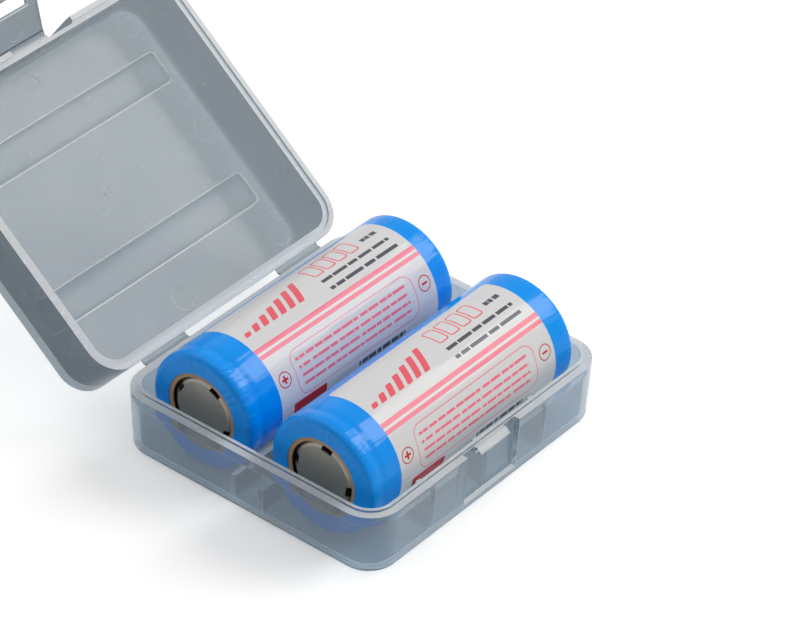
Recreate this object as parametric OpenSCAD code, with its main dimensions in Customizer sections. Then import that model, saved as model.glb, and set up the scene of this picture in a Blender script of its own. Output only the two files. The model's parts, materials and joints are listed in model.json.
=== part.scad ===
// Hinged storage case for two large round cells, with its two cells in place.
// One moulding makes the tray, the lid and the latch flap: thin webs join them and flex.
// Frame: +X runs along the cells, from the (+) ends to the (-) ends; +Y runs from the
// latch side to the hinge side; +Z is up. The origin is on the tray's underside, at the
// middle of its outline. The lid and the flap are drawn open, as they rest in the picture.

/* [Cells] */
// Outer diameter of each cell, over its sleeve
cell_d = 26.2; // [25:0.1:29]
// Length of each cell
cell_len = 65.2; // [60:0.1:72]
// Gap between the two cells
cell_gap = 5.1; // [4.5:0.1:8]
// Thickness of the shrink sleeve
sleeve_t = 0.2; // [0.1:0.05:0.3]

/* [Case] */
// From the cells' ends to the outside of the case's rim
end_room = 4.9; // [4.5:0.1:12]
// From the cells' sides to the outside of the case's rim
side_room = 5.25; // [4.7:0.05:10]
// Room over the cells, under the lid's panel
top_room = 0.35; // [0.3:0.05:4]
// Height of the tray, up to the parting plane; the lid takes the rest
tray_h = 15; // [14:0.5:16]
// Radius of the case's four upright corners
corner_r = 7.4; // [6:0.1:10]
// Thickness of the side walls
wall = 1.5; // [1.2:0.1:2]
// Thickness of the tray's floor
floor_t = 1.35; // [1:0.05:1.4]
// Thickness of the lid's panel
panel_t = 1.8; // [1.4:0.1:1.8]
// Width of the rim's band
rim_w = 2.4; // [2.2:0.1:2.8]
// Radius of the rounded bottom and top edges
edge_r = 1.8; // [1:0.1:2.2]

/* [Hinge] */
// Angle of the lid from closed
lid_angle = 141; // [0:1:178]
// Width of the gap that the hinge straps bridge
hinge_gap = 1.6; // [1.4:0.1:2.4]
// Width of each hinge strap
strap_w = 13; // [6:0.5:16]
// Distance of each strap's middle from the middle of the case
strap_x = 21; // [14:0.5:24]
// Thickness of the hinge straps
web_t = 0.45; // [0.3:0.05:0.6]

/* [Latch] */
// Angle of the flap from its latched position
flap_angle = 58; // [0:1:110]
// Width of the flap
flap_w = 16; // [12:0.5:20]
// Length of the flap, from its hinge line
flap_l = 14.8; // [14:0.1:17]
// Thickness of the flap
flap_t = 1.2; // [1:0.1:1.6]
// Thickness of the latch web, at its crease
latch_web_t = 0.3; // [0.2:0.05:0.5]
// Width of the catch on the tray
catch_w = 9.4; // [6:0.2:11]

/* [Hidden] */
$fn = 96;
floor_gap = 0.3;             // under the cells
cell_pitch = cell_d + cell_gap; // distance between the two cells' axes
L = cell_len + 2 * end_room;    // length of the case, along the cells
W = cell_pitch + cell_d + 2 * side_room; // width, from the latch side to the hinge side
H = tray_h;
case_h = floor_t + floor_gap + cell_d + top_room + panel_t; // height of the shut case
lid_h = case_h - H;
R = corner_r;
part_gap = 0.15;             // half of the gap between the two rims when shut
draft = 0.5;                 // how far the side walls lean in below the rim band
band_h = 2.5;                // height of the rim band
tongue_h = 0.4;              // how far the tray's tongue rises past the parting plane
tongue_w = 0.75;
rebate_t = 0.7;              // depth of the lid's rebate, which takes the tongue
lip_w = 1.2;                 // outer lip of the lid's rim
axis_y = W / 2 + hinge_gap / 2;
cell_x = 0.5 - cell_len / 2; // where the (+) ends start: the cells lie 0.5 off the middle
cell_z = floor_t + floor_gap + cell_d / 2;
rc = cell_d / 2;
can_r = rc - sleeve_t;
mouth_r = can_r - 4.25;      // the sleeve's opening at the (+) end
base_r = can_r - 2.5;        // and at the (-) end
can_t = 0.35;                // thickness of the can
cap_r = can_r - 5.5;         // the (+) cap
cap_t = 0.4;
vent_in = 1.3;               // how far its vent notches cut in from its edge
vent_w = 2.6;
cap_turn = [8, 28];          // where each cap's first vent notch lies, in degrees from the top
cap_z = 0.45;                // how deep its top and its brim lie in the (+) end
brim_z = 2.3;
seal_z = 4.6;                // how deep the sealing ring reaches
roll_z = [7, cell_len - 2];  // where the winding starts and ends
roll_r = can_r - 0.6;
disc_t = 0.3;
tab_t = 0.2;
rib_x = [-18, 0, 18];        // three cradle ribs on each long wall
rib_t = 1.4;
cradle_gap = 0.35;           // between a cell and the ribs that cradle it
mid_t = 1.2;                 // two low ribs that run between the cells
mid_y = cell_gap / 2 + 1.05;
mid_top = cell_z - 7.35;
recess_d = 1.5;              // depth of the latch recess in both front walls
tray_recess = flap_w / 2 + 0.4; // half widths of the recesses
lid_recess = flap_w / 2 + 1;
ledge_out = 0.3;             // how far the ledge that carries the flap stands out
flap_y = -W / 2 - 0.9;       // the flap's hinge line, with the lid shut
flap_z = H + 9.4;
latched = -96;               // the flap's direction when latched
flap_start = 0.7;            // from the hinge line to the thick part of the flap
slot_u = [8, 11.4];          // where the slot starts and ends along the flap
slot_w = catch_w + 0.8;
panel_z = H + lid_h - panel_t; // inner face of the lid's panel, with the lid shut
trough_y = [-cell_pitch / 2 - 0.85, cell_pitch / 2 - 0.25];
trough_d = 0.9;              // depth of the troughs at their middle
pin_d = 5;                   // ejector pin marks
pin_depth = 0.15;
pin_in = 6.4;                // how far in from the outside they lie
pin_x = [-L / 2 + pin_in, 0, L / 2 - pin_in];
floor_pin_x = [-L / 2 + pin_in, -10, 10, L / 2 - pin_in];
pin_y = W / 2 - pin_in;
crease = 0.15;               // half of the thin line along which each web folds

// Which sub-part to draw

// ---- shared shapes ----

// Sweeps a wall section round the case's outline. The section's x runs outward from the
// corner's axis and its y runs along z; the middle is filled from z0 to z1.
module swept(z0, z1) {
    a = L / 2 - R;
    b = W / 2 - R;
    for (c = [[a, b, 0], [-a, b, 90], [-a, -b, 180], [a, -b, 270]])
        translate([c[0], c[1], 0]) rotate([0, 0, c[2]]) rotate_extrude(angle = 90) children();
    for (s = [0, 180]) {
        rotate([0, 0, s]) translate([a, 0, 0])
            rotate([90, 0, 0]) linear_extrude(2 * b, center = true) children();
        rotate([0, 0, s + 90]) translate([b, 0, 0])
            rotate([90, 0, 0]) linear_extrude(2 * a, center = true) children();
    }
    translate([-a, -b, z0]) cube([2 * a, 2 * b, z1 - z0]);
}

// Section of the outside of a shell that is h high: the outer land stops just short of
// the parting plane, and the inner part of the rim, step_w in, ends at y = inner_h
module outer_section(h, inner_h, step_w) {
    e = R - draft;
    land = h - part_gap;
    polygon([[0, 0], [e - edge_r, 0], [e, edge_r], [R, h - band_h], [R, land],
        [R - step_w, land], [R - step_w, inner_h], [0, inner_h]]);
    translate([e - edge_r, edge_r]) circle(edge_r);
}

// Section of the hollow, over a closed end that is t thick
module hollow_section(h, t) {
    e = R - draft - wall;
    polygon([[0, t], [e - 1, t], [e, t + 1], [R - wall - 0.05, h - band_h - 0.9],
        [R - rim_w, h - band_h], [R - rim_w, h + 2], [0, h + 2]]);
    translate([e - 1, t + 1]) circle(1);
}

// Open shell, standing on its closed end
module shell(h, inner_h, step_w, t) difference() {
    swept(0, inner_h) outer_section(h, inner_h, step_w);
    swept(t, h + 2) hollow_section(h, t);
}

// Straight bar along X from a (y, z) outline
module bar(x0, x1, pts) {
    translate([x0, 0, 0]) rotate([90, 0, 90]) linear_extrude(x1 - x0) polygon(pts);
}

// Round body along X, from an outline of [radius, distance from the (+) end]
module turned(y, pts) {
    translate([cell_x, y, cell_z]) rotate([0, 90, 0]) rotate_extrude() polygon(pts);
}

// Shallow round mark left by an ejector pin
module pin_mark(x, y, z) {
    translate([x, y, z]) cylinder(d = pin_d, h = 2 * pin_depth, center = true);
}

// Turns a shape drawn with the lid shut to the lid's open position
module opened() {
    translate([0, axis_y, H]) rotate([-lid_angle, 0, 0]) translate([0, -axis_y, -H]) children();
}

// Places a shape drawn along the flap: x across, y away from the hinge line, z outward
module on_flap() {
    opened() translate([0, flap_y, flap_z]) rotate([-latched - flap_angle, 0, 0])
        mirror([0, 1, 0]) children();
}

// ---- the case ----

module tray() {
    color([0.62, 0.70, 0.76, 0.55]) difference() {
        union() {
            shell(H, H + tongue_h, rim_w - tongue_w, floor_t);
            // wall behind the latch recess, flush with the rim's inner edge
            translate([-tray_recess - 1.1, -W / 2 + 1.2, 1]) cube([2 * tray_recess + 2.2, rim_w - 1.2, H - 3]);
            // cradle ribs on both long walls, and the two low ribs in the middle
            for (x = rib_x, s = [0, 180]) rotate([0, 0, s]) side_rib(x);
            for (y = [-mid_y, mid_y])
                translate([-L / 2 + wall + 0.1, y - mid_t / 2, floor_t - 0.3])
                    cube([L - 2 * wall - 0.2, mid_t, mid_top - floor_t + 0.3]);
        }
        // latch recess in the outside of the front wall
        translate([-tray_recess, -W / 2 - 2, 2.6])
            cube([2 * tray_recess, 2 + recess_d, H]);
        for (x = floor_pin_x, y = [-pin_y, pin_y]) pin_mark(x, y, floor_t);
    }
    // catch: a hook with a sloping lead-in, under which the flap's bar snaps
    color([0.62, 0.70, 0.76, 0.55]) tray_catch();
}

// One cradle rib: its inner edge follows the cell
module side_rib(x) {
    y0 = -W / 2 + wall - 0.3;
    y1 = -cell_pitch / 2 - rc + 2.35;
    difference() {
        translate([x - rib_t / 2, y0, floor_t - 0.3])
            cube([rib_t, y1 - y0, H - band_h - floor_t + 0.2]);
        translate([x - rib_t, -cell_pitch / 2, cell_z]) rotate([0, 90, 0])
            cylinder(r = rc + cradle_gap, h = 2 * rib_t);
    }
}

module tray_catch() {
    y = -W / 2;
    top = H - part_gap;
    bar(-catch_w / 2, catch_w / 2, [[y + recess_d + 0.3, top], [y + 0.6, top],
        [y - 0.5, H - 1.1], [y - 0.5, H - 1.5], [y + recess_d + 0.3, H - 1.7]]);
}

module lid_shut() {
    difference() {
        union() {
            // drawn upside down, on its panel, then turned over
            translate([0, 0, H + lid_h]) mirror([0, 0, 1])
                shell(lid_h, lid_h - rebate_t, lip_w, panel_t);
            // wall behind the latch recess
            translate([-lid_recess - 1.1, -W / 2 + 1.2, H + rebate_t])
                cube([2 * lid_recess + 2.2, rim_w - 1.2, flap_z - H + 2.6]);
        }
        // latch recess, up to the ledge that carries the flap
        translate([-lid_recess, -W / 2 - 2, H - 1])
            cube([2 * lid_recess, 2 + recess_d, flap_z - H + 0.7]);
        for (y = trough_y) trough(y);
        for (x = pin_x, y = [-pin_y, 0, pin_y])
            if (x != 0 || y != 0) pin_mark(x, y, panel_z);
    }
    // ledge for the flap's web
    y = -W / 2 - ledge_out;
    bar(-flap_w / 2 - 0.2, flap_w / 2 + 0.2, [[y + 1.3, flap_z - 0.3],
        [y, flap_z - 0.3], [y, flap_z + 0.3], [y + 1.3, flap_z + 1.6]]);
    // nub left where the plastic was fed in
    translate([0, 0, panel_z - 0.35]) cylinder(d = 1.6, h = 0.5);
}

// A long shallow trough over each cell: its roof follows the cell, its corners are round
module trough(y) {
    l = cell_len - 1.2;
    w = 7.3;
    roof_r = rc + 0.5;
    intersection() {
        translate([0, y, panel_z - 1]) linear_extrude(3) union() {
            square([l - 2, w], center = true);
            square([l, w - 2], center = true);
            for (i = [-1, 1], j = [-1, 1]) translate([i * (l / 2 - 1), j * (w / 2 - 1)]) circle(1);
        }
        translate([-l, y, panel_z + trough_d - roof_r]) rotate([0, 90, 0])
            cylinder(r = roof_r, h = 2 * l);
    }
}

module lid() color([0.66, 0.71, 0.75, 0.55]) opened() lid_shut();

// The flap, with the slot that takes the catch
module latch_flap() color([0.60, 0.68, 0.74, 0.55]) on_flap() difference() {
    translate([-flap_w / 2, flap_start, -0.2]) cube([flap_w, flap_l - flap_start, flap_t]);
    translate([-slot_w / 2, slot_u[0], -2]) cube([slot_w, slot_u[1] - slot_u[0], 6]);
    pin_mark(0, 4.4, -0.2);
}

// Halves of the hinge straps and of the latch web, either side of the crease
module strap_leaves() {
    for (s = [-1, 1])
        translate([s * strap_x - strap_w / 2, W / 2, H - 0.3 - web_t])
            cube([strap_w, hinge_gap / 2 - crease, web_t]);
}

module hinge_leaves_tray() color([0.70, 0.76, 0.80, 0.5]) strap_leaves();

module hinge_leaves_lid() color([0.70, 0.76, 0.80, 0.5]) opened()
    translate([0, 0, 2 * H]) mirror([0, 0, 1]) strap_leaves();

module latch_web_lid() color([0.70, 0.76, 0.80, 0.5]) opened()
    translate([-flap_w / 2, flap_y + 2 * crease, flap_z - latch_web_t / 2])
        cube([flap_w, -W / 2 - ledge_out - flap_y - 2 * crease, latch_web_t]);

module latch_web_flap() color([0.70, 0.76, 0.80, 0.5]) on_flap()
    translate([-flap_w / 2, 2 * crease, -latch_web_t / 2])
        cube([flap_w, flap_start - 2 * crease, latch_web_t]);

// ---- one cell, made of its own pieces, with its axis at y ----

module sleeve(y) color([0.03, 0.42, 0.88]) difference() {
    n = cell_len;
    turned(y, [[0, 0], [rc - 0.7, 0], [rc, 0.7], [rc, n - 0.7], [rc - 0.7, n], [0, n]]);
    turned(y, [[0, -1], [mouth_r, -1], [mouth_r, sleeve_t], [can_r - 0.6, sleeve_t], [can_r, 0.8],
        [can_r, n - 0.8], [can_r - 0.6, n - sleeve_t], [base_r, n - sleeve_t], [base_r, n + 1], [0, n + 1]]);
}

// Steel can: rolled lip and groove at the (+) end, closed at the (-) end
module can(y) color([0.66, 0.66, 0.64]) turned(y, let (r = can_r, n = cell_len - sleeve_t, t = can_t) [
    [mouth_r + 0.65, 0.7], [r - 0.6, 0.7], [r - 0.1, 1.2], [r - 0.1, seal_z - 0.2],
    [r - 1.5, seal_z + 0.5], [r - 1.5, seal_z + 1], [r, seal_z + 1.7], [r, n - 0.6], [r - 0.6, n],
    [0, n], [0, n - t - 0.05], [r - 0.8, n - t - 0.05], [r - t, n - 0.8], [r - t, seal_z + 1.9],
    [r - 1.9, seal_z + 1.2], [r - 1.9, seal_z + 0.3], [r - t - 0.1, seal_z - 0.4],
    [r - t - 0.1, 1.3], [r - 0.8, 0.7 + t], [mouth_r + 0.65, 0.7 + t]]);

// Fibre washer between the rolled lip and the sleeve
module washer(y) color([0.62, 0.48, 0.33]) turned(y, [[mouth_r - 0.9, 0.25],
    [can_r - 2.3, 0.25], [can_r - 2.3, 0.65], [mouth_r - 0.9, 0.65]]);

// Flat-topped (+) cap with a bevelled shoulder, a brim and vent notches
module cap(y, turn) color([0.42, 0.42, 0.39]) difference() {
    r = cap_r;
    brim = can_r - 2.3;
    turned(y, [[0, cap_z], [r - 0.8, cap_z], [r, cap_z + 0.55], [r, brim_z], [brim, brim_z],
        [brim, brim_z + cap_t], [r - cap_t, brim_z + cap_t], [r - cap_t, cap_z + 0.75],
        [r - 1, cap_z + cap_t], [0, cap_z + cap_t]]);
    for (i = [0:3]) translate([cell_x, y, cell_z]) rotate([i * 90 + turn, 0, 0])
        translate([cap_z - 0.1, r - vent_in, -vent_w / 2]) cube([1.75, 2, vent_w]);
}

// Sealing ring, clamped between the can's lip and groove
module gasket(y) color([0.18, 0.18, 0.19]) turned(y, let (r = can_r, a = cap_r + 2, b = brim_z) [
    [a, 1.05], [r - 0.9, 1.05], [r - 0.5, 1.4], [r - 0.5, seal_z - 0.5], [r - 1.9, seal_z],
    [a + 0.4, seal_z], [a + 0.4, b + 1], [r - 1.6, b + 1], [r - 1.6, b - 0.1], [a, b - 0.1]]);

// Burst disc under the cap
module vent_disc(y) color([0.75, 0.76, 0.78]) turned(y, let (r = can_r - 1.7, b = brim_z) [[0, b + 1.1],
    [2.5, b + 1.1], [3.2, b + 0.45], [r, b + 0.45], [r, b + 0.9], [3.6, b + 0.9], [2.9, b + 1.5],
    [0, b + 1.5]]);

// Wound electrodes, with the hollow core left by the winding pin
module winding(y) color([0.22, 0.22, 0.24]) turned(y, [[1.6, roll_z[0]], [roll_r, roll_z[0]],
    [roll_r, roll_z[1]], [1.6, roll_z[1]]]);

// Insulating disc at either end of the winding, a from the (+) end
module end_disc(y, a) color([0.85, 0.85, 0.82]) turned(y, [[2.2, a], [roll_r - 0.2, a],
    [roll_r - 0.2, a + disc_t], [2.2, a + disc_t]]);

module top_disc(y) end_disc(y, roll_z[0] - 0.1 - disc_t);

module bottom_disc(y) end_disc(y, roll_z[1] + 0.1);

// Tab from the winding to the burst disc, through the upper disc's hole
module plus_tab(y) color([0.80, 0.80, 0.82]) bent_strip(y, let (a = brim_z + 1.5, b = roll_z[0]) [
    [a, -1.8], [a + tab_t, -1.8], [a + tab_t, 1.8 - tab_t], [b, 1.8 - tab_t], [b, 1.8], [a, 1.8]]);

// Tab from the winding to the closed end of the can
module minus_tab(y) color([0.70, 0.70, 0.68]) bent_strip(y, let (a = roll_z[1],
    b = cell_len - sleeve_t - can_t - 0.05) [[a, -1.8], [b, -1.8], [b, 1.8], [b - tab_t, 1.8],
    [b - tab_t, -1.8 + tab_t], [a, -1.8 + tab_t]]);

// Bent strip on the cell's axis, from an outline of [distance from the (+) end, height]
module bent_strip(y, pts) translate([cell_x, y, cell_z]) rotate([90, 0, 0])
    linear_extrude(2.4, center = true) polygon(pts);

y1 = -cell_pitch / 2;
y2 = cell_pitch / 2;

tray();
lid();
latch_flap();
hinge_leaves_tray();
hinge_leaves_lid();
latch_web_lid();
latch_web_flap();
sleeve(y1);  // cell1_sleeve
can(y1);  // cell1_can
washer(y1);  // cell1_washer
cap(y1, cap_turn[0]);  // cell1_cap
gasket(y1);  // cell1_gasket
vent_disc(y1);  // cell1_vent_disc
winding(y1);  // cell1_winding
top_disc(y1);  // cell1_top_disc
bottom_disc(y1);  // cell1_bottom_disc
plus_tab(y1);  // cell1_plus_tab
minus_tab(y1);  // cell1_minus_tab
sleeve(y2);  // cell2_sleeve
can(y2);  // cell2_can
washer(y2);  // cell2_washer
cap(y2, cap_turn[1]);  // cell2_cap
gasket(y2);  // cell2_gasket
vent_disc(y2);  // cell2_vent_disc
winding(y2);  // cell2_winding
top_disc(y2);  // cell2_top_disc
bottom_disc(y2);  // cell2_bottom_disc
plus_tab(y2);  // cell2_plus_tab
minus_tab(y2);  // cell2_minus_tab
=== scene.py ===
import json
import math

import bpy
import bmesh
from mathutils import Matrix, Quaternion, Vector


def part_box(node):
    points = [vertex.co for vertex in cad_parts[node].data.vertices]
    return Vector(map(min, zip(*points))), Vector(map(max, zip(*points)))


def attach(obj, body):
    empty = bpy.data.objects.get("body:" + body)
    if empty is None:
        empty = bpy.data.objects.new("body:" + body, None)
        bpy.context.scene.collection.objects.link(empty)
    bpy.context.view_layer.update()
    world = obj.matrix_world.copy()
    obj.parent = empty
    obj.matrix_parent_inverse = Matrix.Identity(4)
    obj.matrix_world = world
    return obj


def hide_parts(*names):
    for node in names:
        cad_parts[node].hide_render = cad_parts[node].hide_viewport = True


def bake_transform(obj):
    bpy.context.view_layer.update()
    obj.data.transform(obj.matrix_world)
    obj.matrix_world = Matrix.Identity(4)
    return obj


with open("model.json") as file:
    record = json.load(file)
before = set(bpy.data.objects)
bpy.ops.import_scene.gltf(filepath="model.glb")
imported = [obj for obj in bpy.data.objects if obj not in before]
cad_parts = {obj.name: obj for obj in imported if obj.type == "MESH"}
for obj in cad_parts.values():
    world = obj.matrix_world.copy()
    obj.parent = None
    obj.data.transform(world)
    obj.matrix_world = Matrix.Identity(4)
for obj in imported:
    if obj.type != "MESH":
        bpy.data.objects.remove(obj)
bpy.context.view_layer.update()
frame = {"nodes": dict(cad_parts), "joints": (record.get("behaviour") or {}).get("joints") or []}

# The dressed case: the frame's own solids with soft edges, shrink films, hinge straps and
# latch web modelled here, and materials made of nodes. Outlines are in millimetres.
MM = 0.001

# Each cell's film: how far its print is shifted along (mm), turned and skewed (degrees)
# off the first cell's, which lies straight
FILMS = {
    "cell1": {"shift": 0.0, "turn": 0.0, "skew": 0.0},
    "cell2": {"shift": 0.65, "turn": -8.5, "skew": -2.6},
}
LABEL_ENDS = (9.3, 59.2)     # the label's ends, from the (+) end
LABEL_EDGE = -29             # its upper edge, in degrees from the top
LABEL_TURN = 240             # how many degrees it reaches round the cell
LABEL_MIDDLE = sum(LABEL_ENDS) / 2
LABEL_HALF = (LABEL_ENDS[1] - LABEL_ENDS[0]) / 2
PRINT_RADIUS = 13.1          # the radius that the print is laid out on
SKEW_LENGTH = 50             # the length of film that a skew is given for
STRAP_WIDTH = 13
STRAP_TUCK = 0.3             # how far each strap reaches into what it joins
FLAP_WIDTH = 16
FLAP_BEND = 38               # degrees that the flap is bent out of the line of its web
WEB_THICK = 0.3
WEB_BEND = 0.3               # from the latch web's crease to where it starts to bend
WEB_IN_LID = 0.9             # from its crease to its end in the lid
WEB_IN_FLAP = 0.7            # from the end of its bend to its end in the flap
FOLD_STEPS = 24              # segments in each living hinge
RIPPLES = (5.0, 0.05)        # the film's ripples: scale of their noise round it and along it
PUCKERS = (16.0, 0.12)       # the same for its puckers
PUCKERED_START = (7.0, 1.0)  # the puckers grow from the first to the second, from the (+) end
PUCKERED_END = (60.0, 64.5)  # and so they do here, towards the (-) end
TURNS_PER_MM = 3.2           # how closely the electrodes are wound
PANEL_Z = 28.2               # the inner face of the shut lid's panel
PANEL_HALF = (33, 30)        # how far its marks reach from its middle, along and across
PAINTED_LIGHT_IN_TRAY = 2.5           # the tray's faces with painted light, a paler plastic, are above this height
PAINTED_LIGHT_IN_LID = 26             # the shut lid's faces with painted light, a paler plastic, are below this height
FINE_EDGE = 0.05             # edge width where there is no room for a wider one
EDGE_ROOM = 1.95             # how many times its own width an edge needs beside it
SHARP = math.radians(32)     # an edge that turns by more than this is sharp


# ---- reading the frame ----

nodes = frame["nodes"]


def joint(name):
    return next(j for j in frame["joints"] if j["name"] == name)


LID_HINGE = Vector(joint("lid_hinge")["pos_m"])
LID_OPEN = -math.radians(joint("lid_hinge")["range_deg"][0])


def lid_shut(point):
    """Where a point of the lid, as it stands open, comes to as the lid shuts."""
    return LID_HINGE + Quaternion((1, 0, 0), LID_OPEN) @ (point - LID_HINGE)


def cell_start(cell):
    """Where a cell's axis crosses the face of its (+) end."""
    low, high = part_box(cell + "_sleeve")
    return Vector((low.x, (low.y + high.y) / 2, (low.z + high.z) / 2))


def cell_radius(cell):
    low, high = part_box(cell + "_sleeve")
    return (high.z - low.z) / 2 / MM


# ---- modelling by hand ----

def start_clean(piece=None):
    """Leaves object mode with only the piece selected, so that an operator acts on it alone."""
    if bpy.context.object and bpy.context.object.mode != "OBJECT":
        bpy.ops.object.mode_set(mode="OBJECT")
    bpy.ops.object.select_all(action="DESELECT")
    if piece:
        piece.select_set(True)
        bpy.context.view_layer.objects.active = piece


def settle(piece, name):
    """Names a piece and puts its place, turn and size into its mesh."""
    start_clean(piece)
    bpy.ops.object.transform_apply(location=True, rotation=True, scale=True)
    piece.name = name
    piece.data.name = name
    return piece


def close_up(piece, smooth_degrees=35):
    """Merges doubles, turns every face outwards and smooths all but the sharp edges."""
    start_clean(piece)
    bpy.ops.object.mode_set(mode="EDIT")
    bpy.ops.mesh.select_all(action="SELECT")
    bpy.ops.mesh.remove_doubles(threshold=0.002 * MM)
    bpy.ops.mesh.normals_make_consistent(inside=False)
    bpy.ops.object.mode_set(mode="OBJECT")
    bpy.ops.object.shade_smooth_by_angle(angle=math.radians(smooth_degrees))
    return piece


def select_faces(piece, wanted):
    """In edit mode, selects the faces whose middle and normal pass a test."""
    bpy.ops.mesh.select_mode(type="FACE")
    bpy.ops.mesh.select_all(action="DESELECT")
    mesh = bmesh.from_edit_mesh(piece.data)
    for face in mesh.faces:
        face.select = wanted(face.calc_center_median(), face.normal)
    mesh.select_flush_mode()
    bmesh.update_edit_mesh(piece.data)


def turned_shell(name, start, outline, sides=160):
    """A body of revolution about +X: a ring at the first [along, radius] of the outline, in
    millimetres, is extruded and resized from point to point, and closed back to the first."""
    along, radius = outline[0]
    start_clean()
    bpy.ops.mesh.primitive_circle_add(vertices=sides, radius=radius * MM, fill_type="NOTHING",
                                      location=start + Vector((along * MM, 0, 0)),
                                      rotation=(0, math.pi / 2, 0))
    piece = settle(bpy.context.object, name)
    bpy.ops.object.mode_set(mode="EDIT")
    bpy.ops.mesh.select_mode(type="VERT")
    bpy.ops.mesh.select_all(action="SELECT")
    for next_along, next_radius in outline[1:] + outline[:1]:
        step = Vector(((next_along - along) * MM, 0, 0))
        bpy.ops.mesh.extrude_region_move(TRANSFORM_OT_translate={"value": step})
        share = next_radius / radius
        bpy.ops.transform.resize(value=(1, share, share),
                                 center_override=start + Vector((next_along * MM, 0, 0)))
        along, radius = next_along, next_radius
    bpy.ops.object.mode_set(mode="OBJECT")
    return close_up(piece)


def arc(centre, radius, first, last, steps=6):
    """Points [along, radius] on a round corner, between two angles in degrees."""
    turns = [math.radians(first + (last - first) * i / steps) for i in range(steps + 1)]
    return [(centre[0] + radius * math.cos(t), centre[1] + radius * math.sin(t)) for t in turns]


def anywhere(middle):
    """The test that every edge passes."""
    return True


def eased(node, body, name, widths, painted_light_face=None):
    """A copy of one of the frame's solids with its sharp edges eased, in one pass for each
    (width in millimetres, test for an edge's middle) and a fine last one. Faces whose middle and
    normal pass the test for painted light take the copy's second material, a paler plastic that
    paints light onto them, and so do the new edge faces as painted highlights, save those that face down."""
    copy = nodes[node].copy()
    copy.data = nodes[node].data.copy()
    bpy.context.scene.collection.objects.link(copy)
    copy.parent = None
    settle(copy, name)
    copy.data.materials.clear()
    for _ in range(2):
        copy.data.materials.append(None)
    bpy.ops.object.mode_set(mode="EDIT")
    bpy.ops.mesh.select_all(action="SELECT")
    bpy.ops.mesh.remove_doubles(threshold=0.001 * MM)
    bpy.ops.mesh.dissolve_limited(angle_limit=math.radians(0.5))
    if painted_light_face:
        give_slot(copy, 1, painted_light_face)
    for width, wanted in widths + [(FINE_EDGE, anywhere)]:
        select_sharp_edges(copy, width * MM, wanted)
        # The new edge faces take the second, paler material: painted highlights along the eased edges
        # Clamping holds all bevels to what the smallest feature allows, too little for the marks
        bpy.ops.mesh.bevel(offset=width * MM, segments=2, affect="EDGES", material=1,
                           clamp_overlap=wanted is anywhere)
    give_slot(copy, 0, lambda middle, normal: normal.z < -0.2 and not (
        painted_light_face and painted_light_face(middle, normal)))
    bpy.ops.object.mode_set(mode="OBJECT")
    bpy.ops.object.shade_smooth_by_angle(angle=SHARP)
    weighted = copy.modifiers.new("even_normals", "WEIGHTED_NORMAL")
    weighted.keep_sharp = True
    weighted.weight = 100
    bpy.ops.object.modifier_apply(modifier=weighted.name)
    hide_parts(node)
    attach(copy, body)
    return copy


def give_slot(piece, slot, wanted):
    """In edit mode, gives one of the material slots to the faces that pass a test."""
    select_faces(piece, wanted)
    piece.active_material_index = slot
    bpy.ops.object.material_slot_assign()


def select_sharp_edges(piece, width, wanted):
    """In edit mode, selects the sharp edges that pass a test and have room beside them. Chosen
    marks need no more room than their bevel's width."""
    bpy.ops.mesh.select_mode(type="EDGE")
    bpy.ops.mesh.select_all(action="DESELECT")
    mesh = bmesh.from_edit_mesh(piece.data)
    sharp = {e for e in mesh.edges if len(e.link_faces) == 2 and e.calc_face_angle() > SHARP}
    room = EDGE_ROOM * width if wanted is anywhere else width
    for edge in [e for e in sharp if wanted((e.verts[0].co + e.verts[1].co) / 2)]:
        beside = [e.calc_length() for v in edge.verts for e in v.link_edges if e not in sharp]
        edge.select = min(beside, default=1) > room
    mesh.select_flush_mode()
    bmesh.update_edit_mesh(piece.data)


# ---- the shrink films ----

def shrink_film(cell):
    """The printed film, drawn over the cell's ends: a soft shoulder and the ridge and valley
    where it bridges the can's groove."""
    start = cell_start(cell)
    low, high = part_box(cell + "_sleeve")
    length, r = (high.x - low.x) / MM, cell_radius(cell)
    mouth, base, inner = r - 4.45, r - 2.7, r - 0.2
    outline = [(0.12, mouth), (0.02, mouth + 0.12), (0, mouth + 0.4), (0.05, r - 1.6)]
    outline += arc((1.3, r - 1.35), 1.3, 172, 96)
    outline += [(2.1, r), (2.6, r - 0.02), (3.2, r - 0.13), (3.8, r - 0.17), (4.4, r - 0.13),
                (5.1, r - 0.03), (5.7, r), (6.6, r - 0.03), (20, r - 0.01), (length - 20, r - 0.01),
                (length - 6, r - 0.03), (length - 3, r)]
    outline += arc((length - 1.2, r - 1.2), 1.2, 84, 5)
    outline += [(length, r - 1.6), (length, base + 0.3), (length - 0.05, base + 0.08),
                (length - 0.15, base), (length - 0.19, r - 1.3), (length - 0.7, inner - 0.02),
                (length - 3, inner), (5.3, inner), (4.4, inner - 0.05), (3.2, inner - 0.05),
                (1.3, inner - 0.07), (0.75, inner - 0.5), (0.19, r - 1.5), (0.19, mouth)]
    film = turned_shell(cell + "_film", start, outline)
    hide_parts(cell + "_sleeve")
    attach(film, cell)
    return film


# ---- the living hinges ----

def spun_band(name, low, high, centre, angle, tail):
    """A band that bends about an axis along X: a box up to the fold, its end face spun round
    the fold, then drawn out straight by its tail."""
    start_clean()
    bpy.ops.mesh.primitive_cube_add(size=1, location=(low + high) / 2)
    band = bpy.context.object
    band.scale = high - low
    settle(band, name)
    forward = Vector((0, math.copysign(1, tail.y), 0))
    bpy.ops.object.mode_set(mode="EDIT")
    select_faces(band, lambda middle, normal: normal.dot(forward) > 0.9)
    bpy.ops.mesh.spin(steps=FOLD_STEPS, dupli=False, angle=-angle, center=centre, axis=(1, 0, 0))
    bpy.ops.mesh.extrude_region_move(TRANSFORM_OT_translate={"value": tail})
    bpy.ops.object.mode_set(mode="OBJECT")
    return close_up(band)


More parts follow.
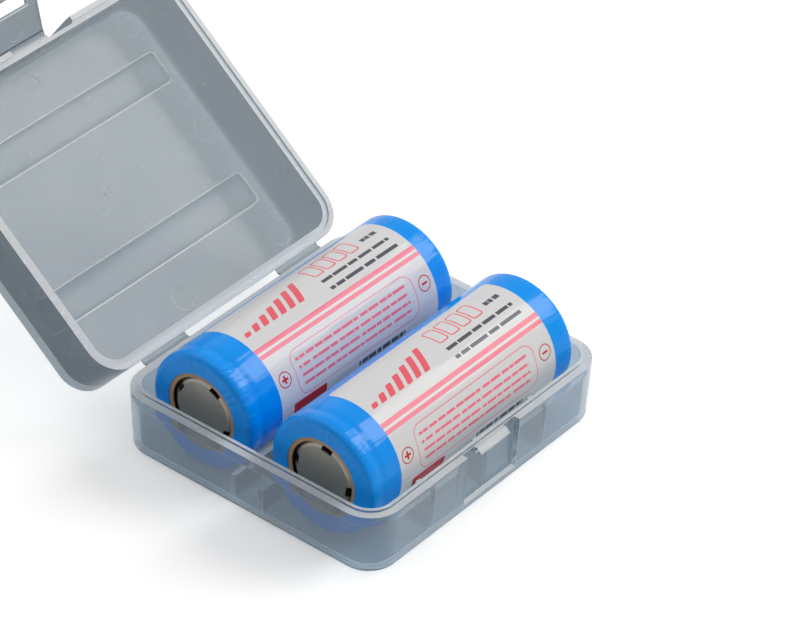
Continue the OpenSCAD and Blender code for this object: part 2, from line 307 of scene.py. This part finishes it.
def hinge_straps():
    """The two straps between tray and lid: flat leaves on both sides of a short fold."""
    low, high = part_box("hinge_leaves_tray")
    bend = math.pi - LID_OPEN
    onward = Vector((0, math.cos(bend), math.sin(bend)))
    reach = LID_HINGE.y - low.y + STRAP_TUCK * MM
    straps = []
    for side in (-1, 1):
        left, right = sorted((side * high.x, side * (high.x - STRAP_WIDTH * MM)))
        straps.append(spun_band("hinge_strap", Vector((left, low.y - STRAP_TUCK * MM, low.z)),
                                Vector((right, LID_HINGE.y, high.z)), LID_HINGE, bend, onward * reach))
    start_clean(straps[0])
    straps[1].select_set(True)
    bpy.ops.object.join()
    piece = settle(straps[0], "hinge_straps")
    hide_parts("hinge_leaves_tray", "hinge_leaves_lid")
    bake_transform(piece)
    return piece


def latch_web():
    """The thin web that carries the flap, drawn with the lid shut and then opened with it."""
    crease = lid_shut(Vector(joint("latch_hinge")["pos_m"]))
    bend = math.radians(FLAP_BEND)
    near = WEB_BEND * MM
    half = Vector((FLAP_WIDTH / 2 * MM, 0, WEB_THICK / 2 * MM))
    centre = crease + Vector((0, near, -near / math.tan(bend / 2)))
    onward = Quaternion((1, 0, 0), bend) @ Vector((0, -1, 0))
    piece = spun_band("latch_web", crease - half + Vector((0, near, 0)),
                      crease + half + Vector((0, WEB_IN_LID * MM, 0)), centre, bend,
                      onward * WEB_IN_FLAP * MM)
    turn_about_x(piece, LID_HINGE, -LID_OPEN)
    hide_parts("latch_web_lid", "latch_web_flap")
    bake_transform(piece)
    return piece


def turn_about_x(piece, centre, angle):
    """Turns a piece about the line along X through a point."""
    there = Matrix.Translation(centre)
    piece.matrix_world = there @ Matrix.Rotation(angle, 4, "X") @ there.inverted()
    settle(piece, piece.name)


# ---- node trees ----

class Graph:
    """Short ways to add nodes to a tree. A value is a socket, a number or a colour."""

    def __init__(self, tree):
        self.tree = tree

    def plug(self, value, socket):
        if isinstance(value, bpy.types.NodeSocket):
            self.tree.links.new(value, socket)
        else:
            socket.default_value = value

    def node(self, kind, values=None, **settings):
        node = self.tree.nodes.new(kind)
        for setting, value in settings.items():
            setattr(node, setting, value)
        for socket, value in (values or {}).items():
            self.plug(value, node.inputs[socket])
        return node

    def math(self, operation, *values, clamp=False):
        node = self.node("ShaderNodeMath", dict(enumerate(values)), operation=operation)
        node.use_clamp = clamp
        return node.outputs[0]

    def vector(self, operation, *values):
        node = self.node("ShaderNodeVectorMath", operation=operation)
        for i, value in enumerate(values):
            self.plug(value, node.inputs[i])
        return node.outputs["Value" if operation in ("LENGTH", "DOT_PRODUCT") else "Vector"]

    def scaled(self, vector, factor):
        node = self.node("ShaderNodeVectorMath", {"Scale": factor}, operation="SCALE")
        self.plug(vector, node.inputs[0])
        return node.outputs["Vector"]

    def join(self, x, y, z):
        return self.node("ShaderNodeCombineXYZ", {0: x, 1: y, 2: z}).outputs[0]

    def split(self, vector):
        return self.node("ShaderNodeSeparateXYZ", {0: vector}).outputs

    def noise(self, place, scale, detail=2.0, roughness=0.5):
        node = self.node("ShaderNodeTexNoise", {"Vector": place, "Scale": scale, "Detail": detail,
                                                "Roughness": roughness})
        return node.outputs[0]

    def ramp(self, value, low, high, first=0.0, last=1.0):
        """Goes smoothly from first to last as the value goes from low to high."""
        node = self.node("ShaderNodeMapRange", {0: value, 1: low, 2: high, 3: first, 4: last},
                         interpolation_type="SMOOTHSTEP")
        return node.outputs[0]

    def mix(self, share, low, high):
        node = self.node("ShaderNodeMix", {0: share, 6: low, 7: high}, data_type="RGBA")
        return node.outputs[2]

    def use(self, group, **values):
        """Adds one of the shared groups; its inputs are named with _ for each space."""
        node = self.node("ShaderNodeGroup")
        node.node_tree = group
        for socket, value in values.items():
            self.plug(value, node.inputs[socket.replace("_", " ")])
        return node.outputs


def new_group(name, inputs, outputs):
    """A shared node group: its graph, what comes in and where its results go."""
    tree = bpy.data.node_groups.new(name, "ShaderNodeTree")
    for socket, kind in inputs.items():
        tree.interface.new_socket(name=socket, in_out="INPUT", socket_type="NodeSocket" + kind)
    for socket, kind in outputs.items():
        tree.interface.new_socket(name=socket, in_out="OUTPUT", socket_type="NodeSocket" + kind)
    graph = Graph(tree)
    return graph, graph.node("NodeGroupInput").outputs, graph.node("NodeGroupOutput").inputs


def scratch_group():
    """Short fine scratches in three directions: thin level lines of a drawn-out noise, in
    patches."""
    graph, given, results = new_group("fine_scratches", {"Place": "Vector", "Density": "Float"},
                                      {"Mask": "Float"})
    total = 0.0
    for turn in ((0.3, 0.2, 0.4), (-0.5, 0.3, 1.9), (0.2, -0.6, -0.8)):
        mapping = graph.node("ShaderNodeMapping", {"Vector": given["Place"], "Rotation": turn,
                                                   "Scale": (0.05, 0.9, 0.9)})
        line = graph.math("SUBTRACT", graph.noise(mapping.outputs[0], 1.0, 1.0), 0.5)
        line = graph.math("ABSOLUTE", line)
        patch = graph.noise(graph.vector("ADD", given["Place"], tuple(9 * t for t in turn)), 0.12)
        limit = graph.math("SUBTRACT", 0.72, graph.math("MULTIPLY", given["Density"], 0.3))
        patch = graph.ramp(patch, limit, graph.math("ADD", limit, 0.08))
        scratch = graph.math("MULTIPLY", graph.ramp(line, 0.0, 0.009, 1.0, 0.0), patch)
        total = graph.math("MAXIMUM", total, scratch)
    graph.plug(total, results["Mask"])
    return graph.tree


def mottle_group():
    """Even, fine unevenness: a broad and a fine noise, each around 0."""
    graph, given, results = new_group("mottle", {"Place": "Vector"}, {"Broad": "Float", "Fine": "Float"})
    for result, scale in (("Broad", 0.09), ("Fine", 2.2)):
        noise = graph.noise(given["Place"], scale, 3.0, 0.55)
        graph.plug(graph.math("SUBTRACT", noise, 0.5), results[result])
    return graph.tree


def round_group():
    """Where a point lies on a cell: how far along, how far round from the top along the surface,
    and how far from the axis, in mm. Round the back it jumps from 3/4 of a turn to -1/4."""
    graph, given, results = new_group(
        "place_on_cell", {"Place": "Vector", "Start": "Vector", "Outer Radius": "Float", "Turn": "Float"},
        {"Along": "Float", "Arc": "Float", "Radius": "Float"})
    x, y, z = graph.split(graph.vector("SUBTRACT", given["Place"], given["Start"]))
    turn = graph.math("ARCTAN2", graph.math("MULTIPLY", y, -1.0), z)
    turn = graph.math("SUBTRACT", turn, graph.math("RADIANS", given["Turn"]))
    turn = graph.math("WRAP", turn, 1.5 * math.pi, -0.5 * math.pi)
    graph.plug(x, results["Along"])
    graph.plug(graph.math("MULTIPLY", turn, given["Outer Radius"]), results["Arc"])
    graph.plug(graph.vector("LENGTH", graph.join(0.0, y, z)), results["Radius"])
    return graph.tree


def relief_group():
    """Height of a shrunk film: long ripples, and puckers round its two ends."""
    graph, given, results = new_group("film_relief", {"Place": "Vector", "Start": "Vector"},
                                      {"Height": "Float"})
    x, y, z = graph.split(graph.vector("SUBTRACT", given["Place"], given["Start"]))
    outward = graph.vector("NORMALIZE", graph.join(0.0, y, z))
    ripples, puckers = (
        graph.noise(graph.vector("ADD", graph.scaled(outward, round_it),
                                 graph.scaled(given["Place"], along_it)), 1.0)
        for round_it, along_it in (RIPPLES, PUCKERS))
    at_end = graph.math("MAXIMUM", graph.ramp(x, *PUCKERED_START), graph.ramp(x, *PUCKERED_END))
    puckers = graph.math("MULTIPLY", puckers, at_end)
    height = graph.math("MULTIPLY", ripples, 0.6)
    graph.plug(graph.math("MULTIPLY_ADD", puckers, 0.5, height), results["Height"])
    return graph.tree


def shape_group():
    """Ink of a rounded box: full inside it, or along its outline where a line width is given."""
    graph, given, results = new_group(
        "printed_shape", {"Along": "Float", "Arc": "Float", "Middle": "Vector", "Half": "Vector",
                          "Corner": "Float", "Line": "Float"}, {"Ink": "Float"})
    point = graph.join(given["Along"], given["Arc"], 0.0)
    reach = graph.vector("ABSOLUTE", graph.vector("SUBTRACT", point, given["Middle"]))
    corner = graph.join(given["Corner"], given["Corner"], 0.0)
    reach = graph.vector("SUBTRACT", reach, graph.vector("SUBTRACT", given["Half"], corner))
    outside = graph.vector("LENGTH", graph.vector("MAXIMUM", reach, (0, 0, 0)))
    u, v, _ = graph.split(reach)
    inside = graph.math("MINIMUM", graph.math("MAXIMUM", u, v), 0.0)
    distance = graph.math("SUBTRACT", graph.math("ADD", outside, inside), given["Corner"])
    half_line = graph.math("MULTIPLY", given["Line"], 0.5)
    off_line = graph.math("SUBTRACT", graph.math("ABSOLUTE", distance), half_line)
    outlined = graph.math("GREATER_THAN", half_line, 0.0)
    more = graph.math("MULTIPLY", outlined, graph.math("SUBTRACT", off_line, distance))
    distance = graph.math("ADD", distance, more)
    graph.plug(graph.ramp(distance, -0.04, 0.04, 1.0, 0.0), results["Ink"])
    return graph.tree


def dash_group():
    """A row cut into dashes of uneven length, with even gaps."""
    graph, given, results = new_group("uneven_dashes", {"Along": "Float", "Row": "Float", "Count": "Float"},
                                      {"Mask": "Float"})
    steps = graph.math("MULTIPLY", given["Along"], given["Count"])
    place = graph.join(graph.math("MULTIPLY", steps, 0.9), graph.math("MULTIPLY", given["Row"], 3.7), 0.0)
    steps = graph.math("ADD", steps, graph.math("MULTIPLY", graph.noise(place, 1.0, 0.0), 1.6))
    steps = graph.math("FRACT", steps)
    first, last = graph.ramp(steps, 0.10, 0.14), graph.ramp(steps, 0.96, 1.0, 1.0, 0.0)
    graph.plug(graph.math("MULTIPLY", first, last), results["Mask"])
    return graph.tree


# ---- the label ----

# Its inks, and the film's and the winding's own colours
WHITE = (0.73, 0.73, 0.745, 1)
ROSE = (0.92, 0.20, 0.29, 1)
CORAL = (0.86, 0.13, 0.17, 1)
RED = (0.60, 0.028, 0.045, 1)
GREY = (0.10, 0.105, 0.13, 1)
BLUE = (0.0, 0.29, 0.94, 1)
PALE_BLUE = (0.0, 0.335, 0.99, 1)
DARK_TURN = (0.02, 0.02, 0.022, 1)
BRIGHT_TURN = (0.32, 0.17, 0.10, 1)
SLANTED_BARS = 7
OUTLINED_BLOCKS = 4
BOXED_ROWS = 4


def label_shapes():
    """What is printed on the label, as (ink, middle, half size, corner, line, slant): stripes,
    the marks of the two ends, a ruled box, and plain blocks in the place of words and art.
    Middles are [along, round] in mm, from the (+) end and from the top."""
    shapes = [(ROSE, (LABEL_MIDDLE, 7.98), (LABEL_HALF, 0.53), 0.0, 0.0, 0.0),
              (ROSE, (LABEL_MIDDLE, 9.56), (LABEL_HALF, 0.46), 0.0, 0.0, 0.0),
              (RED, (12.0, 15.9), (1.62, 1.62), 1.62, 0.25, 0.0),
              (RED, (12.0, 15.9), (0.9, 0.27), 0.0, 0.0, 0.0),
              (RED, (12.0, 15.9), (0.27, 0.9), 0.0, 0.0, 0.0),
              (RED, (56.4, 15.6), (1.67, 1.67), 1.67, 0.25, 0.0),
              (RED, (56.4, 15.6), (0.85, 0.24), 0.0, 0.0, 0.0),
              (ROSE, (34.2, 16.5), (19.0, 4.9), 2.5, 0.2, 0.0),
              (RED, (18.1, 23.3), (5.1, 1.2), 0.4, 0.0, 0.0)]
    for i in range(SLANTED_BARS):
        shapes.append((CORAL, (12.0 + 2.9 * i, 3.6 - 0.4 * i), (0.85, 0.6 + 0.42 * i), 0.3, 0.0, 0.5))
    for i in range(OUTLINED_BLOCKS):
        shapes.append((CORAL, (37.3 + 3.7 * i, -1.6), (1.4, 2.5), 0.6, 0.34, 0.0))
    return shapes


def label_rows():
    """Rows of dashes in the place of words, as (ink, middle, half size, dashes per mm)."""
    rows = [(ROSE, (33.8, 13.6 + 1.83 * i), (17.2, 0.32), 0.36) for i in range(BOXED_ROWS)]
    rows += [(GREY, (46.0, 3.0), (10.5, 0.42), 0.26), (GREY, (46.0, 5.5), (10.5, 0.42), 0.2),
             (GREY, (54.2, -0.6), (2.3, 0.6), 0.4), (GREY, (41.0, 23.3), (7.5, 0.6), 0.42)]
    return rows


def label_group(shape, dashes):
    """The print on the film: its colour, and where it covers the film's blue."""
    graph, given, results = new_group("label_print", {"Along": "Float", "Arc": "Float"},
                                      {"Colour": "Color", "Cover": "Float"})
    arc_start = math.radians(LABEL_EDGE) * PRINT_RADIUS
    arc_half = math.radians(LABEL_TURN) * PRINT_RADIUS / 2
    cover = graph.use(shape, Along=given["Along"], Arc=given["Arc"],
                      Middle=(LABEL_MIDDLE, arc_start + arc_half, 0),
                      Half=(LABEL_HALF, arc_half, 0), Corner=1.0)["Ink"]
    colour = WHITE
    for ink, middle, half, corner, line, slant in label_shapes():
        along = given["Along"]
        if slant:
            lean = graph.math("MULTIPLY", graph.math("SUBTRACT", given["Arc"], middle[1]), slant)
            along = graph.math("ADD", along, lean)
        mask = graph.use(shape, Along=along, Arc=given["Arc"], Middle=(*middle, 0), Half=(*half, 0),
                         Corner=corner, Line=line)["Ink"]
        colour = graph.mix(mask, colour, ink)
    for ink, middle, half, count in label_rows():
        mask = graph.use(shape, Along=given["Along"], Arc=given["Arc"], Middle=(*middle, 0),
                         Half=(*half, 0))["Ink"]
        cut = graph.use(dashes, Along=given["Along"], Row=middle[1], Count=count)["Mask"]
        colour = graph.mix(graph.math("MULTIPLY", mask, cut), colour, ink)
    graph.plug(colour, results["Colour"])
    graph.plug(cover, results["Cover"])
    return graph.tree


# ---- materials ----

THIN_IOR = 1.16       # low, so that a thin wall shows what is behind it without dark rims
SHADOW_TINT = 0.25    # how much of its tint the plastic gives the lamp light it lets through


class Finish(Graph):
    """A material with one Principled shader."""

    def __init__(self, name, **values):
        self.material = bpy.data.materials.new(name)
        self.material.use_nodes = True
        super().__init__(self.material.node_tree)
        self.shader = self.tree.nodes["Principled BSDF"]
        self.set(**values)
        self.place = self.scaled(self.node("ShaderNodeTexCoord").outputs["Object"], 1 / MM)

    def set(self, **values):
        for socket, value in values.items():
            self.plug(value, self.shader.inputs[socket.replace("_", " ")])

    def bump(self, height, depth):
        """Tells the shader of a relief, with its depth in millimetres."""
        node = self.node("ShaderNodeBump", {"Height": height, "Distance": depth * MM, "Strength": 1.0})
        self.set(Normal=node.outputs["Normal"])


def paint(piece, finish, second=None):
    """Gives a piece, or one of the frame's solids, its material and its slot, and a second
    material to the faces that were set apart for it."""
    if not piece.data.materials:
        piece.data.materials.append(finish.material)
    for s in piece.material_slots:
        s.material = finish.material
    if second:
        piece.material_slots[1].material = second.material


def milky_plastic(name, tint, deep, clear, lets_by, rough, gloss):
    """Milky polypropylene, a little uneven and finely scratched. It lets the lamps' light
    through to what lies behind it."""
    f = Finish(name, IOR=THIN_IOR, Transmission_Weight=clear, Coat_Weight=gloss, Coat_Roughness=0.15)
    mottle = f.use(groups["mottle"], Place=f.place)
    scratches = f.use(groups["scratches"], Place=f.place, Density=0.5)["Mask"]
    f.set(Base_Color=f.mix(f.math("MULTIPLY_ADD", mottle["Broad"], 2.0, 0.5, clamp=True), tint, deep))
    rough = f.math("ADD", rough, f.math("MULTIPLY", mottle["Broad"], 0.08))
    f.set(Roughness=f.math("ADD", rough, f.math("MULTIPLY", scratches, 0.12)))
    passed_on = tuple(1 - SHADOW_TINT + SHADOW_TINT * t for t in tint[:3]) + (1,)
    through = f.node("ShaderNodeBsdfTransparent", {"Color": passed_on})
    lamp_rays = f.node("ShaderNodeLightPath").outputs["Is Shadow Ray"]
    both = f.node("ShaderNodeMixShader", {0: f.math("MULTIPLY", lamp_rays, lets_by),
                                          1: f.shader.outputs[0], 2: through.outputs[0]})
    f.plug(both.outputs[0], f.tree.nodes["Material Output"].inputs["Surface"])
    return f


def film_finish(cell):
    """Glossy blue film with its printed label, puckered at the ends."""
    start = cell_start(cell) / MM
    fit = FILMS[cell]
    f = Finish("printed_film_" + cell, IOR=1.5, Specular_IOR_Level=0.17)
    on = f.use(groups["round"], Place=f.place, Start=start, Outer_Radius=cell_radius(cell),
               Turn=fit["turn"])
    along = f.math("SUBTRACT", on["Along"], fit["shift"])
    lean = math.radians(fit["skew"]) * PRINT_RADIUS / SKEW_LENGTH
    around = f.math("MULTIPLY_ADD", f.math("SUBTRACT", along, LABEL_MIDDLE), lean, on["Arc"])
    label = f.use(groups["label"], Along=along, Arc=around)
    mottle = f.use(groups["mottle"], Place=f.place)
    share = f.math("MULTIPLY_ADD", mottle["Broad"], 1.5, 0.5, clamp=True)
    f.set(Base_Color=f.mix(label["Cover"], f.mix(share, BLUE, PALE_BLUE), label["Colour"]))
    f.set(Roughness=f.math("MULTIPLY_ADD", mottle["Broad"], 0.12, 0.17))
    relief = f.use(groups["relief"], Place=f.place, Start=start)["Height"]
    f.bump(f.math("MULTIPLY_ADD", mottle["Fine"], 0.02, relief), 0.35)
    return f


def metal_finish(name, colour, rough):
    """Bare metal with fine scratches and uneven sheen."""
    f = Finish(name, Metallic=1.0)
    mottle = f.use(groups["mottle"], Place=f.place)
    scratches = f.use(groups["scratches"], Place=f.place, Density=0.9)["Mask"]
    light = tuple(min(1.0, 1.35 * c) for c in colour[:3]) + (1,)
    worn = f.math("MULTIPLY_ADD", scratches, 0.8, f.math("MULTIPLY_ADD", mottle["Broad"], 1.2, 0.3))
    f.set(Base_Color=f.mix(worn, colour, light))
    f.set(Roughness=f.math("MULTIPLY_ADD", mottle["Fine"], 0.3, rough, clamp=True))
    f.bump(f.math("SUBTRACT", f.math("MULTIPLY", mottle["Fine"], 0.4), scratches), 0.01)
    return f


def plain_finish(name, colour, rough, grain):
    """A matt stuff with a fine grain."""
    f = Finish(name)
    mottle = f.use(groups["mottle"], Place=f.place)
    dark = tuple(0.75 * c for c in colour[:3]) + (1,)
    share = f.math("MULTIPLY_ADD", mottle["Broad"], 1.2, f.math("MULTIPLY_ADD", mottle["Fine"], grain, 0.5))
    f.set(Base_Color=f.mix(share, colour, dark))
    f.set(Roughness=f.math("MULTIPLY_ADD", mottle["Fine"], 0.3, rough, clamp=True))
    f.bump(mottle["Fine"], 0.03)
    return f


def wound_finish(cell):
    """The edges of the wound electrodes: dark and bright turns round the axis."""
    f = Finish("wound_electrodes_" + cell, Roughness=0.55, Metallic=0.4)
    on = f.use(groups["round"], Place=f.place, Start=cell_start(cell) / MM,
               Outer_Radius=PRINT_RADIUS, Turn=0.0)
    turns = f.math("FRACT", f.math("MULTIPLY", on["Radius"], TURNS_PER_MM))
    f.set(Base_Color=f.mix(f.ramp(turns, 0.3, 0.6), DARK_TURN, BRIGHT_TURN))
    return f


# ---- the stage ----

FLOOR_GLOW = (0.3, 0.95)        # the floor's own light where it is seen, near and far
GLOW_REACH = (250.0, 1500.0)    # from the case to the near and the far, in mm
SKY = (0.24, 0.76)              # the world's light on everything, and what is added where it is seen
LAMP_AIM = Vector((0, 0.03, 0.02))

# Each lamp's direction from the case, size in metres, power in watts and colour
LAMPS = {
    "key_light": ((0.635, -0.39, 0.67), 0.5, 6.6, (1.0, 0.975, 0.94)),
    "top_light": ((-0.1, 0.25, 1.0), 0.9, 2.4, (1.0, 1.0, 1.0)),
    "back_light": ((-0.2, 1.0, 0.4), 0.9, 1.8, (1.0, 1.0, 1.0)),
}

LENS = 193.5
CAMERA_PLACE = (-0.54655, -0.43238, 0.54461)
CAMERA_TURN = (-52.2408, 36.5544, 2.227)    # azimuth, elevation and roll, in degrees


def seen_directly(graph):
    """1 on rays that show what they meet: the camera's, mirrored ones and those through glass."""
    rays = graph.node("ShaderNodeLightPath").outputs
    mirrored = graph.math("MAXIMUM", rays["Is Glossy Ray"], rays["Is Transmission Ray"])
    return graph.math("MAXIMUM", rays["Is Camera Ray"], mirrored)


def stage_floor():
    start_clean()
    bpy.ops.mesh.primitive_plane_add(size=8, location=(0, 0, -0.1 * MM))
    floor = settle(bpy.context.object, "floor")
    f = Finish("pale_floor", Base_Color=(0.90, 0.90, 0.90, 1), Roughness=0.9)
    glow = f.ramp(f.vector("LENGTH", f.place), *GLOW_REACH, *FLOOR_GLOW)
    f.set(Emission_Color=(1, 1, 1, 1), Emission_Strength=f.math("MULTIPLY", seen_directly(f), glow))
    paint(floor, f)


def soft_box(name, direction, size, power, colour):
    """A square lamp one metre from the case, in a direction from it."""
    towards = Vector(direction).normalized()
    lamp = bpy.data.lights.new(name, "AREA")
    lamp.size = size
    lamp.energy = power
    lamp.color = colour
    holder = bpy.data.objects.new(name, lamp)
    bpy.context.scene.collection.objects.link(holder)
    holder.location = LAMP_AIM + towards
    holder.rotation_euler = towards.to_track_quat("Z", "Y").to_euler()


def studio():
    stage_floor()
    for name, lamp in LAMPS.items():
        soft_box(name, *lamp)
    world = bpy.data.worlds.new("studio")
    world.use_nodes = True
    bpy.context.scene.world = world
    graph = Graph(world.node_tree)
    back = graph.tree.nodes["Background"].inputs
    back["Color"].default_value = (1, 1, 1, 1)
    graph.plug(graph.math("MULTIPLY_ADD", seen_directly(graph), SKY[1], SKY[0]), back["Strength"])


def camera():
    azimuth, elevation, roll = (math.radians(a) for a in CAMERA_TURN)
    back = Vector((math.sin(azimuth) * math.cos(elevation),
                   -math.cos(azimuth) * math.cos(elevation), math.sin(elevation)))
    data = bpy.data.cameras.new("camera")
    data.sensor_width = 36
    data.lens = LENS
    data.clip_start, data.clip_end = 0.05, 20
    holder = bpy.data.objects.new("camera", data)
    bpy.context.scene.collection.objects.link(holder)
    holder.location = CAMERA_PLACE
    turn = back.to_track_quat("Z", "Y") @ Quaternion((0, 0, 1), roll)
    holder.rotation_euler = turn.to_euler()
    bpy.context.scene.camera = holder


# ---- putting it together ----

groups = {"scratches": scratch_group(), "mottle": mottle_group(), "round": round_group(),
          "relief": relief_group(), "label": label_group(shape_group(), dash_group())}

studio()
camera()
bpy.context.scene.view_settings.view_transform = "Standard"

plastic = milky_plastic(
    "milky_polypropylene", tint=(0.475, 0.56, 0.625, 1), deep=(0.445, 0.535, 0.60, 1),
    clear=0.84, lets_by=0.95, rough=0.12, gloss=0.6)
# The same plastic as the tray's, tinted darker for the lid and its straps, web and flap: painted shade, not
# a different plastic
painted_shade_lid_plastic = milky_plastic(
    "milky_polypropylene_lid", tint=(0.315, 0.36, 0.395, 1), deep=(0.285, 0.335, 0.37, 1),
    clear=0.77, lets_by=0.9, rough=0.16, gloss=0.08)
# A paler copy of the same plastic: painted light on the rim tops and painted highlights on the eased edges
painted_light_plastic = milky_plastic(
    "milky_polypropylene_edge", tint=(0.73, 0.755, 0.775, 1), deep=(0.70, 0.73, 0.755, 1),
    clear=0.3, lets_by=0.6, rough=0.25, gloss=0.1)


def tray_painted_light(middle, normal):
    """The tops of the rim, the ribs and the catch, which are looked into along their height: they get
    painted light, a paler plastic in place of the light scattered in them.
    """
    return normal.z > 0.5 and middle.z > PAINTED_LIGHT_IN_TRAY * MM


def lid_painted_light(middle, normal):
    """The same on the lid, found with the lid shut."""
    shut = lid_shut(middle)
    return shut.z < PAINTED_LIGHT_IN_LID * MM and (lid_shut(middle + normal) - shut).z < -0.5


def panel_mark(middle):
    """The edges of the troughs and of the round marks in the lid's panel."""
    place = lid_shut(middle) / MM
    half_length, half_width = PANEL_HALF
    return abs(place.z - PANEL_Z) < 0.05 and abs(place.y) < half_width and abs(place.x) < half_length


EDGES = [(0.2, anywhere)]
MARKS = [(0.36, panel_mark), (0.1, panel_mark)]
paint(eased("tray", "tray", "tray_shell", EDGES, tray_painted_light), plastic, painted_light_plastic)
paint(eased("lid", "lid", "lid_shell", MARKS + EDGES, lid_painted_light), painted_shade_lid_plastic,
      painted_light_plastic)
paint(eased("latch_flap", "flap", "flap", EDGES), painted_shade_lid_plastic, painted_light_plastic)
paint(nodes["tray"], plastic)
for name in ("lid", "latch_flap"):
    paint(nodes[name], painted_shade_lid_plastic)
for piece in (hinge_straps(), latch_web()):
    paint(piece, painted_shade_lid_plastic)
for name in ("hinge_leaves_tray", "hinge_leaves_lid", "latch_web_lid", "latch_web_flap"):
    paint(nodes[name], painted_shade_lid_plastic)

steel = metal_finish("nickelled_steel", (0.24, 0.23, 0.205, 1), 0.42)
bright_steel = metal_finish("bright_steel", (0.55, 0.55, 0.54, 1), 0.30)
foil = metal_finish("aluminium_foil", (0.75, 0.75, 0.76, 1), 0.28)
nickel = metal_finish("nickel", (0.55, 0.52, 0.46, 1), 0.3)
fibre = plain_finish("tan_fibre", (0.50, 0.31, 0.17, 1), 0.8, 0.6)
rubber = plain_finish("black_gasket", (0.02, 0.02, 0.022, 1), 0.5, 0.5)
paper = plain_finish("white_insulator", (0.62, 0.60, 0.54, 1), 0.8, 0.8)
for cell in FILMS:
    film = film_finish(cell)
    paint(shrink_film(cell), film)
    paint(nodes[cell + "_sleeve"], film)
    paint(eased(cell + "_cap", cell, cell + "_vented_cap", [(0.1, anywhere)]), steel)
    paint(nodes[cell + "_cap"], steel)
    paint(eased(cell + "_washer", cell, cell + "_ring", [(0.08, anywhere)]), fibre)
    paint(nodes[cell + "_washer"], fibre)
    paint(nodes[cell + "_can"], bright_steel)
    paint(nodes[cell + "_gasket"], rubber)
    paint(nodes[cell + "_vent_disc"], foil)
    paint(nodes[cell + "_plus_tab"], foil)
    paint(nodes[cell + "_winding"], wound_finish(cell))
    paint(nodes[cell + "_minus_tab"], nickel)
    for disc in ("_top_disc", "_bottom_disc"):
        paint(nodes[cell + disc], paper)
